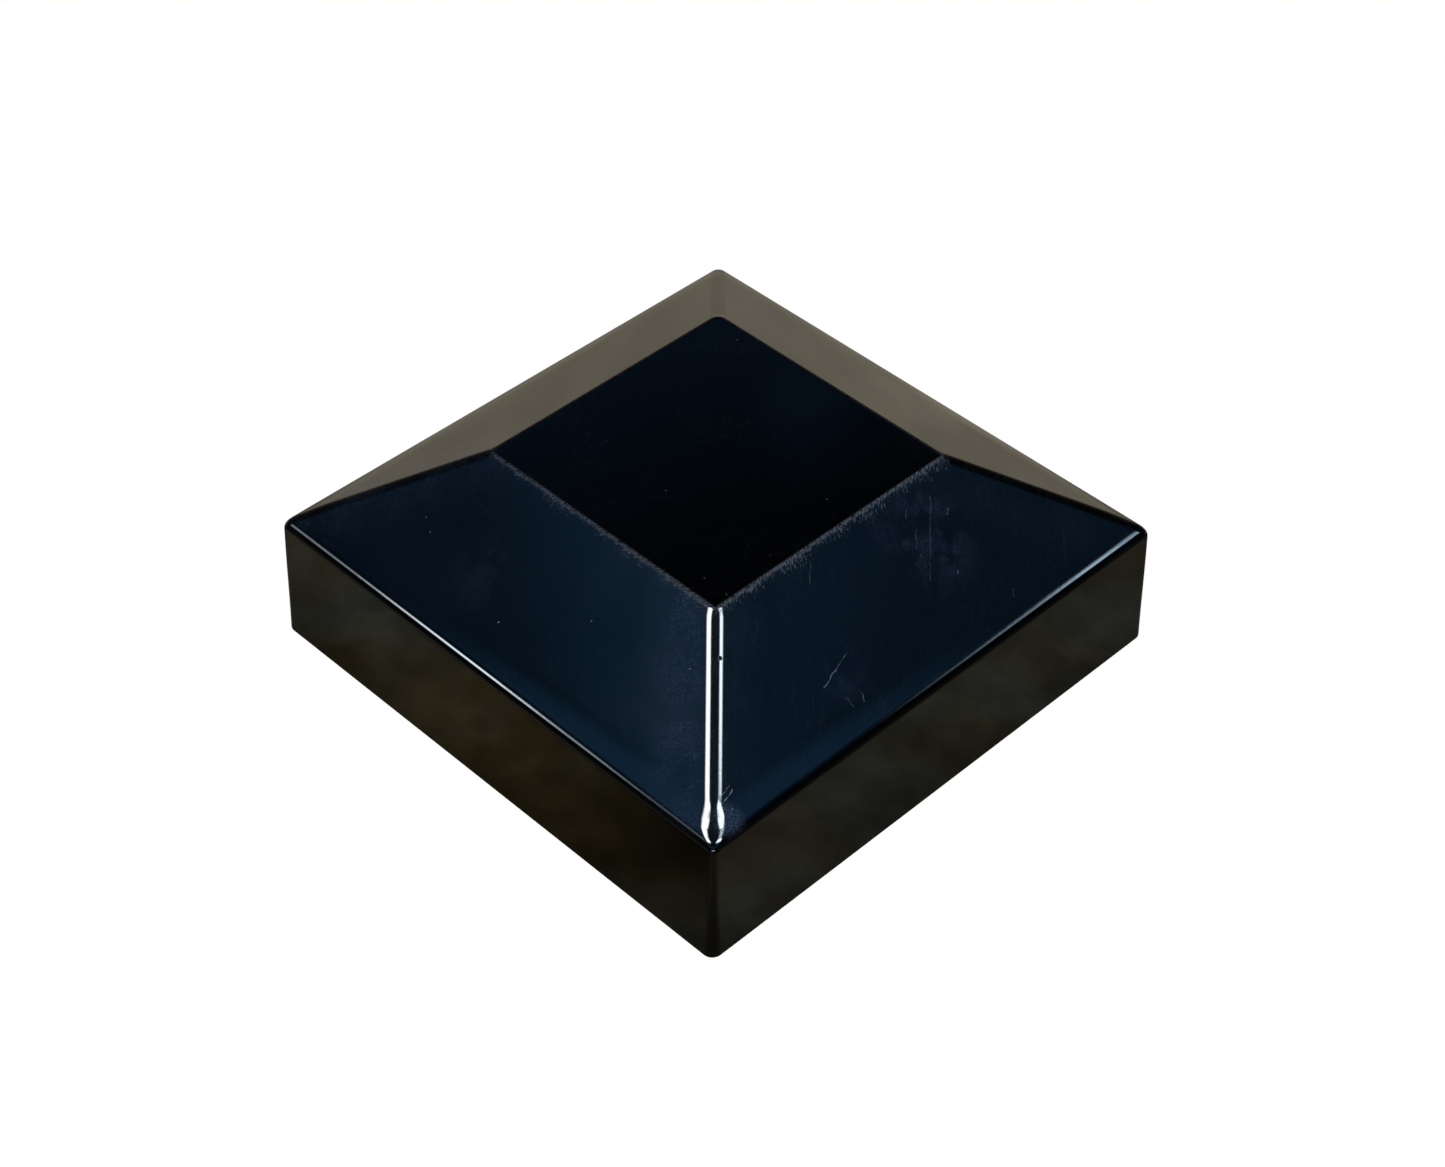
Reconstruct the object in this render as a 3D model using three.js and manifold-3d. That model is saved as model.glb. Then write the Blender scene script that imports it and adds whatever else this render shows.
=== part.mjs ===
// Fence post cap: a cast, flat-topped pyramid cap that slips over the end of a square post.
// Four leaf-spring clips inside the skirt grip the post, so no fastener shows from outside.
// Units are millimetres and +Z is up. The origin is the centre of the skirt's rim, on the plane it rests on.
import * as THREE from "three";
import { mergeVertices, toCreasedNormals } from "three/addons/utils/BufferGeometryUtils.js";
import Module from "manifold-3d";

const wasm = await Module();
wasm.setup();

// ---- Driving dimensions ----

const POST_W = 88.9; // side of the square post that the cap is made for

// Cap shell: widths are across flats, to the edges before they are rounded.
const RIM_W = 97.6; // at the rim, wider than the eave by the casting draft
const EAVE_W = 96; // where the skirt meets the roof
const TOP_W = 49; // flat top
const SKIRT_H = 22.4;
const ROOF_H = 15;
const WALL = 2;
const PLAN_RADIUS = 1.9; // the skirt's upright corners and the roof's hips, seen from above
const EAVE_RADIUS = 2.2;
const TOP_RADIUS = 2;
const RIM_RADIUS = 0.4;
const INNER_RADIUS = 1; // every corner of the inside

// Levels of the stack under the roof, from the seat upwards.
const FRAME_TOP = 21;
const FRAME_T = 1.25;
const GASKET_T = 3;
const CLIP_T = 0.5;
const WASHER_T = 0.5;

// Retainer frame and seat gasket: square rings, widths across flats.
const FRAME_W = 88;
const FRAME_HOLE_W = 50;
const FRAME_HOLE_RADIUS = 7;
const GASKET_HOLE_W = 76;
const RING_RADIUS = 4; // outer corners of both rings

// Spring clips: one strip in the middle of each side, described on the +X side.
const CLIP_W = 14;
const CLIP_INNER_END = 27; // from the cap's axis to the end of the foot
const CLIP_DROP = 45.2; // from the cap's axis to the middle of the leg's upright stretch
const CLIP_BEND = 1; // bend radius at the middle of the strip
const CLIP_BITE = 1; // how far the relaxed belly stands inside the post's face
const CLIP_BELLY_Z = 7;
const CLIP_BELLY_RADIUS = 3.5;
const CLIP_KNEE_Z = 15;
const CLIP_TIP = new THREE.Vector2(44.9, 2.2);
const CLIP_STUB = 0.2; // flat stretch of the leg before its bend
const CLIP_GAP = 0.3; // the clip flexes here, so the leg is its own piece beyond this gap

// Screws, washers and bosses: one set in the middle of each side.
const SCREW_R = 33; // from the cap's axis
const SCREW_D = 4;
const SCREW_L = 8;
const SCREW_HEAD_D = 8.5;
const SCREW_HEAD_H = 2;
const RECESS_SPAN = 4.4; // cross recess, tip to tip
const RECESS_SLOT = 0.9;
const RECESS_DEPTH = 1.3;
const CLEARANCE_D = 4.6; // holes in the clips and the frame
const PILOT_D = 4.4;
const PILOT_DEPTH = 6.5;
const BOSS_D = 8.5;
const WASHER_D = 8;
const WASHER_HOLE_D = 4.5;
const WASHER_TEETH = 10;
const WASHER_TOOTH = 1; // depth of the gaps between the inward teeth

// Cast features of the inside.
const PAD_R = 39; // corner pads that back the frame, on both axes
const PAD_D = 9;
const RIB_T = 1.8;
const RIB_BOTTOM = 22.6; // clear of the clips' bends
const EJECTOR_R = 16; // ejector-pin marks under the flat top, on both axes
const EJECTOR_D = 6;
const EJECTOR_DEPTH = 0.3;

// Facets of the round stretches.
const CORNER_STEPS = 3; // half of the facets of a quarter circle in an outline
const FILLET_STEPS = 4;
const ROUND_STEPS = 20;

// ---- Dimensions that follow ----

const TOTAL_H = SKIRT_H + ROOF_H;
const ROOF_SLOPE = ROOF_H / ((EAVE_W - TOP_W) / 2);
const DRAFT = (RIM_W - EAVE_W) / 2 / SKIRT_H;
const BOSS_BOTTOM = FRAME_TOP + CLIP_T;
const FRAME_BOTTOM = FRAME_TOP - FRAME_T;
const SEAT_Z = FRAME_BOTTOM - GASKET_T;
const HEAD_TOP = FRAME_BOTTOM - WASHER_T;
const FOOT_MIDDLE = FRAME_TOP + CLIP_T / 2;
const LEG_START = CLIP_DROP - CLIP_BEND - CLIP_STUB; // from the cap's axis, like all of a clip
const FOOT_END = LEG_START - CLIP_GAP;

const finishes = {
  blackCoat: new THREE.MeshStandardMaterial({ color: 0x07090c, roughness: 0.12, metalness: 0 }),
  zincPlate: new THREE.MeshStandardMaterial({ color: 0xb4b8ba, roughness: 0.4, metalness: 1 }),
  springSteel: new THREE.MeshStandardMaterial({ color: 0x9c9ea1, roughness: 0.28, metalness: 1 }),
  screwSteel: new THREE.MeshStandardMaterial({ color: 0xc4c6c8, roughness: 0.25, metalness: 1 }),
  foamRubber: new THREE.MeshStandardMaterial({ color: 0x17181a, roughness: 0.95, metalness: 0 }),
};

const SIDES = ["right", "back", "left", "front"]; // +X, +Y, -X, -Y: each a quarter turn on

// ---- Solids and meshes ----

function solidOf(geometry) {
  const bare = geometry.index ? geometry.toNonIndexed() : geometry.clone();
  bare.deleteAttribute("normal");
  bare.deleteAttribute("uv");
  const merged = mergeVertices(bare, 1e-4);
  const vertProperties = merged.attributes.position.array;
  const triVerts = new Uint32Array(merged.index.array);
  return new wasm.Manifold(new wasm.Mesh({ numProp: 3, vertProperties, triVerts }));
}

function meshOf(name, solid, material) {
  const { vertProperties, triVerts } = solid.getMesh();
  const geometry = new THREE.BufferGeometry();
  geometry.setAttribute("position", new THREE.BufferAttribute(vertProperties, 3));
  geometry.setIndex(new THREE.BufferAttribute(triVerts, 1));
  const mesh = new THREE.Mesh(toCreasedNormals(geometry, Math.PI / 6), material);
  mesh.name = name;
  return mesh;
}

// An upright cylinder from z = bottom to z = top.
function rod(x, y, diameter, bottom, top) {
  const geometry = new THREE.CylinderGeometry(diameter / 2, diameter / 2, top - bottom, ROUND_STEPS);
  return solidOf(geometry.rotateX(Math.PI / 2).translate(x, y, (bottom + top) / 2));
}

function slab(x0, x1, y0, y1, z0, z1) {
  const geometry = new THREE.BoxGeometry(x1 - x0, y1 - y0, z1 - z0);
  return solidOf(geometry.translate((x0 + x1) / 2, (y0 + y1) / 2, (z0 + z1) / 2));
}

// A flat piece of the given outline, standing up from z = bottom.
function plate(shape, bottom, thickness) {
  const options = { depth: thickness, bevelEnabled: false, curveSegments: CORNER_STEPS };
  return solidOf(new THREE.ExtrudeGeometry(shape, options).translate(0, 0, bottom));
}

// The same solid made at each of the four sides, joined.
function atEachSide(make) {
  const solids = SIDES.map((_, i) => make().rotate([0, 0, 90 * i]));
  return wasm.Manifold.union(solids);
}

// ---- Outlines ----

// A closed square outline with rounded corners, counter-clockwise.
function roundedSquare(width, radius, OutlineClass = THREE.Shape) {
  const half = width / 2 - radius;
  const outline = new OutlineClass();
  outline.absarc(half, -half, radius, -Math.PI / 2, 0);
  outline.absarc(half, half, radius, 0, Math.PI / 2);
  outline.absarc(-half, half, radius, Math.PI / 2, Math.PI);
  outline.absarc(-half, -half, radius, Math.PI, 1.5 * Math.PI);
  outline.closePath();
  return outline;
}

// The points of a line through the given corners, each inner corner rounded to its radius.
function roundedLine(corners, radii) {
  const points = [corners[0]];
  for (let i = 1; i < corners.length - 1; i++) {
    const corner = corners[i];
    const back = corners[i - 1].clone().sub(corner).normalize();
    const ahead = corners[i + 1].clone().sub(corner).normalize();
    const halfAngle = Math.acos(back.dot(ahead)) / 2;
    const centre = back.clone().add(ahead).normalize();
    centre.multiplyScalar(radii[i - 1] / Math.sin(halfAngle)).add(corner);
    const reach = radii[i - 1] / Math.tan(halfAngle);
    const start = corner.clone().addScaledVector(back, reach);
    const turn = (Math.PI - 2 * halfAngle) * Math.sign(ahead.cross(back));
    for (let s = 0; s <= FILLET_STEPS; s++) {
      points.push(start.clone().rotateAround(centre, (turn * s) / FILLET_STEPS));
    }
  }
  points.push(corners[corners.length - 1]);
  return points;
}

// A solid whose level sections are rounded squares: each profile point is (half width, z), going up.
function towerOf(profile, planRadius) {
  const rings = profile.map(({ x, y }) => {
    const ring = roundedSquare(2 * x, planRadius).getPoints(CORNER_STEPS).slice(0, -1);
    return ring.map((p) => new THREE.Vector3(p.x, p.y, y));
  });
  const count = rings[0].length;
  const positions = [];
  const triangle = (...corners) => corners.forEach((p) => positions.push(p.x, p.y, p.z));
  const lowest = new THREE.Vector3(0, 0, profile[0].y);
  const highest = new THREE.Vector3(0, 0, profile[profile.length - 1].y);
  for (let i = 0; i < count; i++) {
    const j = (i + 1) % count;
    for (let k = 0; k < rings.length - 1; k++) {
      triangle(rings[k][i], rings[k][j], rings[k + 1][j]);
      triangle(rings[k][i], rings[k + 1][j], rings[k + 1][i]);
    }
    triangle(lowest, rings[0][j], rings[0][i]);
    triangle(highest, rings[rings.length - 1][i], rings[rings.length - 1][j]);
  }
  const geometry = new THREE.BufferGeometry();
  geometry.setAttribute("position", new THREE.Float32BufferAttribute(positions, 3));
  return solidOf(geometry);
}

// ---- Cap shell ----

// The cap's outside: skirt with draft, eave, sloping roof and flat top.
function capOutside() {
  const corners = [
    new THREE.Vector2(RIM_W / 2 - 2 * RIM_RADIUS, 0),
    new THREE.Vector2(RIM_W / 2, 0),
    new THREE.Vector2(EAVE_W / 2, SKIRT_H),
    new THREE.Vector2(TOP_W / 2, TOTAL_H),
    new THREE.Vector2(TOP_W / 2 - 4 * TOP_RADIUS, TOTAL_H),
  ];
  return towerOf(roundedLine(corners, [RIM_RADIUS, EAVE_RADIUS, TOP_RADIUS]), PLAN_RADIUS);
}

// The hollow under it, one wall thickness in, running out below the rim.
function capInside() {
  const below = -5;
  const ceiling = TOTAL_H - WALL;
  const skirtFoot = RIM_W / 2 - WALL * Math.hypot(1, DRAFT);
  const skirtAt = (z) => skirtFoot - DRAFT * z;
  const roofPeak = SKIRT_H + (EAVE_W / 2) * ROOF_SLOPE - WALL * Math.hypot(1, ROOF_SLOPE);
  const eaveZ = (roofPeak - ROOF_SLOPE * skirtFoot) / (1 - ROOF_SLOPE * DRAFT);
  const topR = (roofPeak - ceiling) / ROOF_SLOPE;
  const corners = [
    new THREE.Vector2(skirtAt(below), below),
    new THREE.Vector2(skirtAt(eaveZ), eaveZ),
    new THREE.Vector2(topR, ceiling),
    new THREE.Vector2(topR - 4 * INNER_RADIUS, ceiling),
  ];
  return towerOf(roundedLine(corners, [INNER_RADIUS, INNER_RADIUS]), INNER_RADIUS);
}

// What stays standing inside: screw bosses, their ribs to the skirt, and the corner pads.
function castFeatures() {
  const above = TOTAL_H + 1;
  const bosses = atEachSide(() => rod(SCREW_R, 0, BOSS_D, BOSS_BOTTOM, above));
  const ribs = atEachSide(() => slab(SCREW_R, RIM_W / 2, -RIB_T / 2, RIB_T / 2, RIB_BOTTOM, above));
  const pads = atEachSide(() => rod(PAD_R, PAD_R, PAD_D, FRAME_TOP, above));
  return wasm.Manifold.union([bosses, ribs, pads]);
}

function ejectorMarks() {
  const ceiling = TOTAL_H - WALL;
  return atEachSide(() => rod(EJECTOR_R, EJECTOR_R, EJECTOR_D, ceiling - 1, ceiling + EJECTOR_DEPTH));
}

function capShell() {
  const hollow = capInside().subtract(castFeatures()).add(ejectorMarks());
  const pilots = atEachSide(() => rod(SCREW_R, 0, PILOT_D, BOSS_BOTTOM - 1, BOSS_BOTTOM + PILOT_DEPTH));
  return meshOf("cap_shell", capOutside().subtract(hollow).subtract(pilots), finishes.blackCoat);
}

// ---- Retainer frame and seat gasket ----

function squareRing(width, holeWidth, holeRadius) {
  const ring = roundedSquare(width, RING_RADIUS);
  ring.holes.push(roundedSquare(holeWidth, holeRadius, THREE.Path));
  return ring;
}

function retainerFrame() {
  const ring = plate(squareRing(FRAME_W, FRAME_HOLE_W, FRAME_HOLE_RADIUS), FRAME_BOTTOM, FRAME_T);
  const holes = atEachSide(() => rod(SCREW_R, 0, CLEARANCE_D, FRAME_BOTTOM - 1, FRAME_TOP + 1));
  return meshOf("retainer_frame", ring.subtract(holes), finishes.zincPlate);
}

function seatGasket() {
  const ring = plate(squareRing(FRAME_W, GASKET_HOLE_W, RING_RADIUS), SEAT_Z, GASKET_T);
  return meshOf("seat_gasket", ring, finishes.foamRubber);
}

// ---- Spring clips ----

// The flat end of a clip, clamped between boss and frame.
function clipFoot(side) {
  const round = CLIP_W / 4;
  const outline = new THREE.Shape();
  outline.moveTo(FOOT_END, -CLIP_W / 2);
  outline.lineTo(FOOT_END, CLIP_W / 2);
  outline.absarc(CLIP_INNER_END + round, CLIP_W / 2 - round, round, Math.PI / 2, Math.PI);
  outline.absarc(CLIP_INNER_END + round, round - CLIP_W / 2, round, Math.PI, 1.5 * Math.PI);
  outline.closePath();
  const hole = rod(SCREW_R, 0, CLEARANCE_D, FRAME_TOP - 1, FRAME_TOP + CLIP_T + 1);
  return meshOf("clip_foot_" + side, plate(outline, FRAME_TOP, CLIP_T).subtract(hole), finishes.springSteel);
}

// The middle line of a leg, as (distance from the cap's axis, height): bend, knee, belly and tip.
function legLine() {
  const belly = new THREE.Vector2(POST_W / 2 - CLIP_BITE + CLIP_T / 2, CLIP_BELLY_Z);
  const corners = [
    new THREE.Vector2(LEG_START, FOOT_MIDDLE),
    new THREE.Vector2(CLIP_DROP, FOOT_MIDDLE),
    new THREE.Vector2(CLIP_DROP, CLIP_KNEE_Z),
    belly,
    CLIP_TIP,
  ];
  return roundedLine(corners, [CLIP_BEND, CLIP_BELLY_RADIUS, CLIP_BELLY_RADIUS]);
}

// The outline of a strip of even thickness along a middle line.
function stripAlong(line, thickness) {
  const edges = [1, -1].map((sign) =>
    line.map((point, i) => {
      const before = line[Math.max(i - 1, 0)];
      const after = line[Math.min(i + 1, line.length - 1)];
      const along = after.clone().sub(before).normalize();
      const across = new THREE.Vector2(-along.y, along.x);
      return point.clone().addScaledVector(across, (sign * thickness) / 2);
    }),
  );
  return new THREE.Shape([...edges[0].reverse(), ...edges[1]]);
}

// The part of a clip that flexes, as one piece from the bend down to the flared tip.
function clipLeg(side) {
  const options = { depth: CLIP_W, bevelEnabled: false };
  const geometry = new THREE.ExtrudeGeometry(stripAlong(legLine(), CLIP_T), options);
  geometry.translate(0, 0, -CLIP_W / 2).rotateX(Math.PI / 2);
  return meshOf("clip_leg_" + side, solidOf(geometry), finishes.springSteel);
}

// ---- Screws and washers ----

// A low-headed screw with a cross recess, pointing up into its boss.
function screw(side) {
  const headR = SCREW_HEAD_D / 2;
  const shankR = SCREW_D / 2;
  const headBottom = HEAD_TOP - SCREW_HEAD_H;
  const tip = HEAD_TOP + SCREW_L;
  const profile = new THREE.Path();
  profile.moveTo(0, headBottom);
  profile.lineTo(headR / 2, headBottom);
  profile.quadraticCurveTo(headR, headBottom, headR, HEAD_TOP - SCREW_HEAD_H / 4);
  profile.lineTo(headR, HEAD_TOP);
  profile.lineTo(shankR, HEAD_TOP);
  profile.lineTo(shankR, tip - shankR / 2);
  profile.lineTo(shankR / 2, tip);
  profile.lineTo(0, tip);
  const turned = solidOf(new THREE.LatheGeometry(profile.getPoints(4), ROUND_STEPS).rotateX(Math.PI / 2));
  const half = RECESS_SPAN / 2;
  const slot = slab(-half, half, -RECESS_SLOT / 2, RECESS_SLOT / 2, headBottom - 1, headBottom + RECESS_DEPTH);
  const recess = slot.add(slot.rotate([0, 0, 90]));
  return meshOf("frame_screw_" + side, turned.subtract(recess), finishes.screwSteel).translateX(SCREW_R);
}

// A lock washer with inward teeth.
function lockWasher(side) {
  const points = [];
  for (let i = 0; i < 4 * WASHER_TEETH; i++) {
    const radius = WASHER_HOLE_D / 2 + (i % 4 < 2 ? 0 : WASHER_TOOTH);
    const angle = (i * Math.PI) / (2 * WASHER_TEETH);
    points.push(new THREE.Vector2(radius * Math.cos(angle), radius * Math.sin(angle)));
  }
  const hole = plate(new THREE.Shape(points), HEAD_TOP - 1, WASHER_T + 2);
  const washer = rod(0, 0, WASHER_D, HEAD_TOP, FRAME_BOTTOM).subtract(hole);
  return meshOf("lock_washer_" + side, washer, finishes.screwSteel).translateX(SCREW_R);
}

// ---- Assembly ----

const cap = new THREE.Group();
cap.add(capShell(), retainerFrame(), seatGasket());
SIDES.forEach((side, i) => {
  const set = new THREE.Group();
  set.rotation.z = (i * Math.PI) / 2;
  set.add(clipFoot(side), clipLeg(side), screw(side), lockWasher(side));
  cap.add(set);
});

export default cap;
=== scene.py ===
# Looks of the fence post cap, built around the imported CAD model. Lengths are in metres and +Z is up.
# The origin is the middle of the skirt's rim, on the floor that the cap stands on.
import functools
import math

import bmesh
import bpy
from mathutils import Matrix, Vector


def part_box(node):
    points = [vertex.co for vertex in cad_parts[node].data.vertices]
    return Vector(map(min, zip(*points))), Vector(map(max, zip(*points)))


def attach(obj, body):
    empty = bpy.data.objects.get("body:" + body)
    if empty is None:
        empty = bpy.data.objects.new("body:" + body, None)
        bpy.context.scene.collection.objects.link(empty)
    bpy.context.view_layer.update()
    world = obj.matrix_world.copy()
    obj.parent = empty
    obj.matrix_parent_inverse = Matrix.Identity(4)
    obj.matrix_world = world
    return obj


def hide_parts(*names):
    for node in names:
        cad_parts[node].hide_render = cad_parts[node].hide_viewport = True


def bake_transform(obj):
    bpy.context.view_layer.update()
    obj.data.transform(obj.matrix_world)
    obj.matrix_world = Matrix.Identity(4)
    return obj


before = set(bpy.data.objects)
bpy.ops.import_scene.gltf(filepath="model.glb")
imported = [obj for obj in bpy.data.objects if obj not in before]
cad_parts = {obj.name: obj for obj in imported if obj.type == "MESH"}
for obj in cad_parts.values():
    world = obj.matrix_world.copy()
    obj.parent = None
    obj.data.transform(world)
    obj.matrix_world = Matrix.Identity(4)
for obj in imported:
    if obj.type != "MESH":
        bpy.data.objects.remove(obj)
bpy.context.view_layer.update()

MM = 0.001
SIDES = ["right", "back", "left", "front"]  # +X, +Y, -X, -Y: each a quarter turn on

# ---- Dimensions of the cap, the same as the CAD model's ----

RIM_HALF = 48.8 * MM
EAVE_HALF = 48 * MM
TOP_HALF = 24.5 * MM
SKIRT_H = 22.4 * MM
TOTAL_H = 37.4 * MM
WALL = 2 * MM
EAVE_RADIUS = 2.2 * MM
TOP_RADIUS = 2 * MM
RIM_RADIUS = 0.4 * MM
INNER_RADIUS = 1 * MM
CROWN = [(1.2 * MM, 0.94 * MM), (3.6 * MM, 2.62 * MM)]  # bends of the roof: in from the eave, and up
CROWN_RADII = [12 * MM, 60 * MM]
ROOF_SLOPE = (TOTAL_H - SKIRT_H) / (EAVE_HALF - TOP_HALF)
DRAFT = (RIM_HALF - EAVE_HALF) / SKIRT_H

SCREW_R = 33 * MM  # from the cap's axis to each screw
BOSS_R = 4.25 * MM
PILOT_R = 2.2 * MM
PILOT_DEPTH = 6.5 * MM
PAD_PLACE = 39 * MM  # corner pads, on both axes
PAD_R = 4.5 * MM
RIB_T = 1.8 * MM
RIB_BOTTOM = 22.6 * MM
EJECTOR_PLACE = 16 * MM
EJECTOR_R = 3 * MM
EJECTOR_DEPTH = 0.3 * MM

frame_low, frame_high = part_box("retainer_frame")
gasket_low, gasket_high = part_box("seat_gasket")
FRAME_BOTTOM = frame_low.z
FRAME_TOP = frame_high.z
FRAME_HALF = frame_high.x
FRAME_HOLE_HALF = 25 * MM
FRAME_HOLE_RADIUS = 7 * MM
FRAME_EDGE = 0.22 * MM
RING_RADIUS = 4 * MM
CLEARANCE_R = 2.3 * MM
GASKET_HOLE_HALF = 38 * MM
GASKET_EDGE = 0.5 * MM
CLIP_T = 0.5 * MM
CLIP_EDGE = 0.2 * MM
CLIP_W = 14 * MM
CLIP_INNER_END = 27 * MM  # from the cap's axis, like all of a clip
CLIP_DROP = 45.2 * MM
CLIP_BEND = 1 * MM
CLIP_KNEE_Z = 15 * MM
CLIP_BELLY = 43.7 * MM
CLIP_BELLY_Z = 7 * MM
CLIP_BELLY_RADIUS = 3.5 * MM
CLIP_TIP = (44.9 * MM, 2.2 * MM)
CLIP_TIP_ROUND = 1.5 * MM
CLIP_FOOT_ROUND = CLIP_W / 4
BOSS_BOTTOM = FRAME_TOP + CLIP_T

SCREW_D = 4 * MM
SCREW_L = 8 * MM
SCREW_HEAD_R = 4.25 * MM
SCREW_HEAD_RIM = 0.4 * MM
SCREW_HEAD_BEVEL = 0.08 * MM
RECESS_MOUTH = (2.9 * MM, 0.62 * MM)  # half length and half width of the cross
RECESS_FLOOR = (1.1 * MM, 0.3 * MM)
RECESS_DEPTH = 1.3 * MM
HEAD_TOP = FRAME_BOTTOM - 0.5 * MM
HEAD_BOTTOM = HEAD_TOP - 2 * MM
THREAD_PITCH = 0.7 * MM
THREAD_DEPTH = 0.38 * MM
THREAD_RUNOUT = 0.6 * MM
SCREW_POINT = 1.2 * MM
WASHER_R = 4 * MM
WASHER_HOLE_R = 2.25 * MM
WASHER_TEETH = 10
WASHER_TOOTH = 0.9 * MM
WASHER_TWIST = 0.055 * MM

CORNER_STEPS = 18  # facets of a quarter circle, finer than the CAD model's
FILLET_STEPS = 12
ROUND_STEPS = 40  # facets of a screw
TOOTH_STEPS = 12  # facets of a washer to each tooth
OUTLINE_STEP = 1 * MM
CLIP_STEP = 0.7 * MM


# ---- Mesh helpers ----


def in_scene(made):
    bpy.context.scene.collection.objects.link(made)
    return made


def add_object(name, mesh):
    return in_scene(bpy.data.objects.new(name, mesh))


def mesh_from(name, points, faces):
    mesh = bpy.data.meshes.new(name)
    mesh.from_pydata([tuple(p) for p in points], [], faces)
    mesh.validate()
    mesh.update()
    return mesh


def rounded_box(half_x, half_y, radii, steps):
    """(x, y) round a rectangle with rounded corners, anticlockwise from its +X -Y corner."""
    points = []
    for i, (sign_x, sign_y) in enumerate([(1, -1), (1, 1), (-1, 1), (-1, -1)]):
        x = sign_x * (half_x - radii[i])
        y = sign_y * (half_y - radii[i])
        for s in range(steps + 1):
            angle = math.radians(-90 + 90 * i + 90 * s / steps)
            points.append((x + radii[i] * math.cos(angle), y + radii[i] * math.sin(angle)))
    return points


def rounded_square(half, radius, z, front_radius=None):
    """Points of a level square with rounded corners, the +X -Y one perhaps differently."""
    radii = [front_radius or radius] + 3 * [radius]
    return [(x, y, z) for x, y in rounded_box(half, half, radii, CORNER_STEPS)]


def rounded_line(corners, radii, steps=FILLET_STEPS):
    """Points of a line through the corners, each inner corner rounded to its radius."""
    points = [Vector(corners[0])]
    for i in range(1, len(corners) - 1):
        corner = Vector(corners[i])
        back = (Vector(corners[i - 1]) - corner).normalized()
        ahead = (Vector(corners[i + 1]) - corner).normalized()
        half_angle = back.angle(ahead) / 2
        centre = corner + (back + ahead).normalized() * (radii[i - 1] / math.sin(half_angle))
        start = corner + back * (radii[i - 1] / math.tan(half_angle)) - centre
        side = ahead.x * back.y - ahead.y * back.x
        turn = math.copysign(math.pi - 2 * half_angle, side)
        for s in range(steps + 1):
            points.append(centre + Matrix.Rotation(turn * s / steps, 2) @ start)
    points.append(Vector(corners[-1]))
    return points


def skinned(name, loops, closed=False):
    """A solid skinned over loops of equally many points, with capped ends unless it closes on itself."""
    count = len(loops[0])
    points = [point for loop in loops for point in loop]
    faces = []
    for k in range(len(loops) if closed else len(loops) - 1):
        low, high = k * count, (k + 1) % len(loops) * count
        for i in range(count):
            j = (i + 1) % count
            faces.append((low + i, low + j, high + j, high + i))
    if not closed:
        faces.append(tuple(reversed(range(count))))
        faces.append(tuple(range((len(loops) - 1) * count, len(loops) * count)))
    mesh = mesh_from(name, points, faces)
    shape = bmesh.new()
    shape.from_mesh(mesh)
    bmesh.ops.recalc_face_normals(shape, faces=shape.faces)
    shape.to_mesh(mesh)
    shape.free()
    return add_object(name, mesh)


def tower(name, profile, radius_at, front_radius_at=lambda z: None):
    """A solid whose level sections are rounded squares. Its profile is (half width, z), from below."""
    loops = [rounded_square(half, radius_at(z), z, front_radius_at(z)) for half, z in profile]
    return skinned(name, loops)


def ring_points(radius, z, steps, x=0.0, y=0.0):
    """Points of a level circle."""
    angles = [2 * math.pi * s / steps for s in range(steps)]
    return [(x + radius * math.cos(angle), y + radius * math.sin(angle), z) for angle in angles]


def rod(x, y, radius, low, high, steps=64):
    """An upright cylinder, as an object to cut or join with."""
    return skinned("tool", [ring_points(radius, z, steps, x, y) for z in (low, high)])


def slab(low, high):
    """A box between two corners, as an object to cut or join with."""
    plan = [(low[0], low[1]), (high[0], low[1]), (high[0], high[1]), (low[0], high[1])]
    return skinned("tool", [[(x, y, z) for x, y in plan] for z in (low[2], high[2])])


def turned(made, quarter):
    """The same object turned by quarter turns about the cap's axis."""
    made.data.transform(Matrix.Rotation(math.radians(90 * quarter), 4, "Z"))
    return made


def combine(target, tools, operation):
    """Joins the tools to the target, or cuts them from it, and removes them."""
    for tool in tools:
        step = target.modifiers.new("combine", "BOOLEAN")
        step.object = tool
        step.operation = operation
        step.solver = "EXACT"
    freeze(target)
    for tool in tools:
        bpy.data.objects.remove(tool)


def freeze(made):
    """Applies the modifiers of an object to its mesh."""
    bpy.context.view_layer.update()
    evaluated = made.evaluated_get(bpy.context.evaluated_depsgraph_get())
    mesh = bpy.data.meshes.new_from_object(evaluated)
    made.modifiers.clear()
    made.data = mesh


def smooth(made, sharp_degrees=35):
    """Smooth shading that keeps real edges sharp and flat faces flat."""
    shape = bmesh.new()
    shape.from_mesh(made.data)
    for face in shape.faces:
        face.smooth = True
    limit = math.radians(sharp_degrees)
    for edge in shape.edges:
        edge.smooth = len(edge.link_faces) == 2 and edge.calc_face_angle(0) < limit
    shape.to_mesh(made.data)
    shape.free()
    weighted = made.modifiers.new("weighted_normals", "WEIGHTED_NORMAL")
    weighted.keep_sharp = True
    weighted.weight = 100
    weighted.thresh = 0.001
    freeze(made)


# ---- Shader nodes ----


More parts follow.
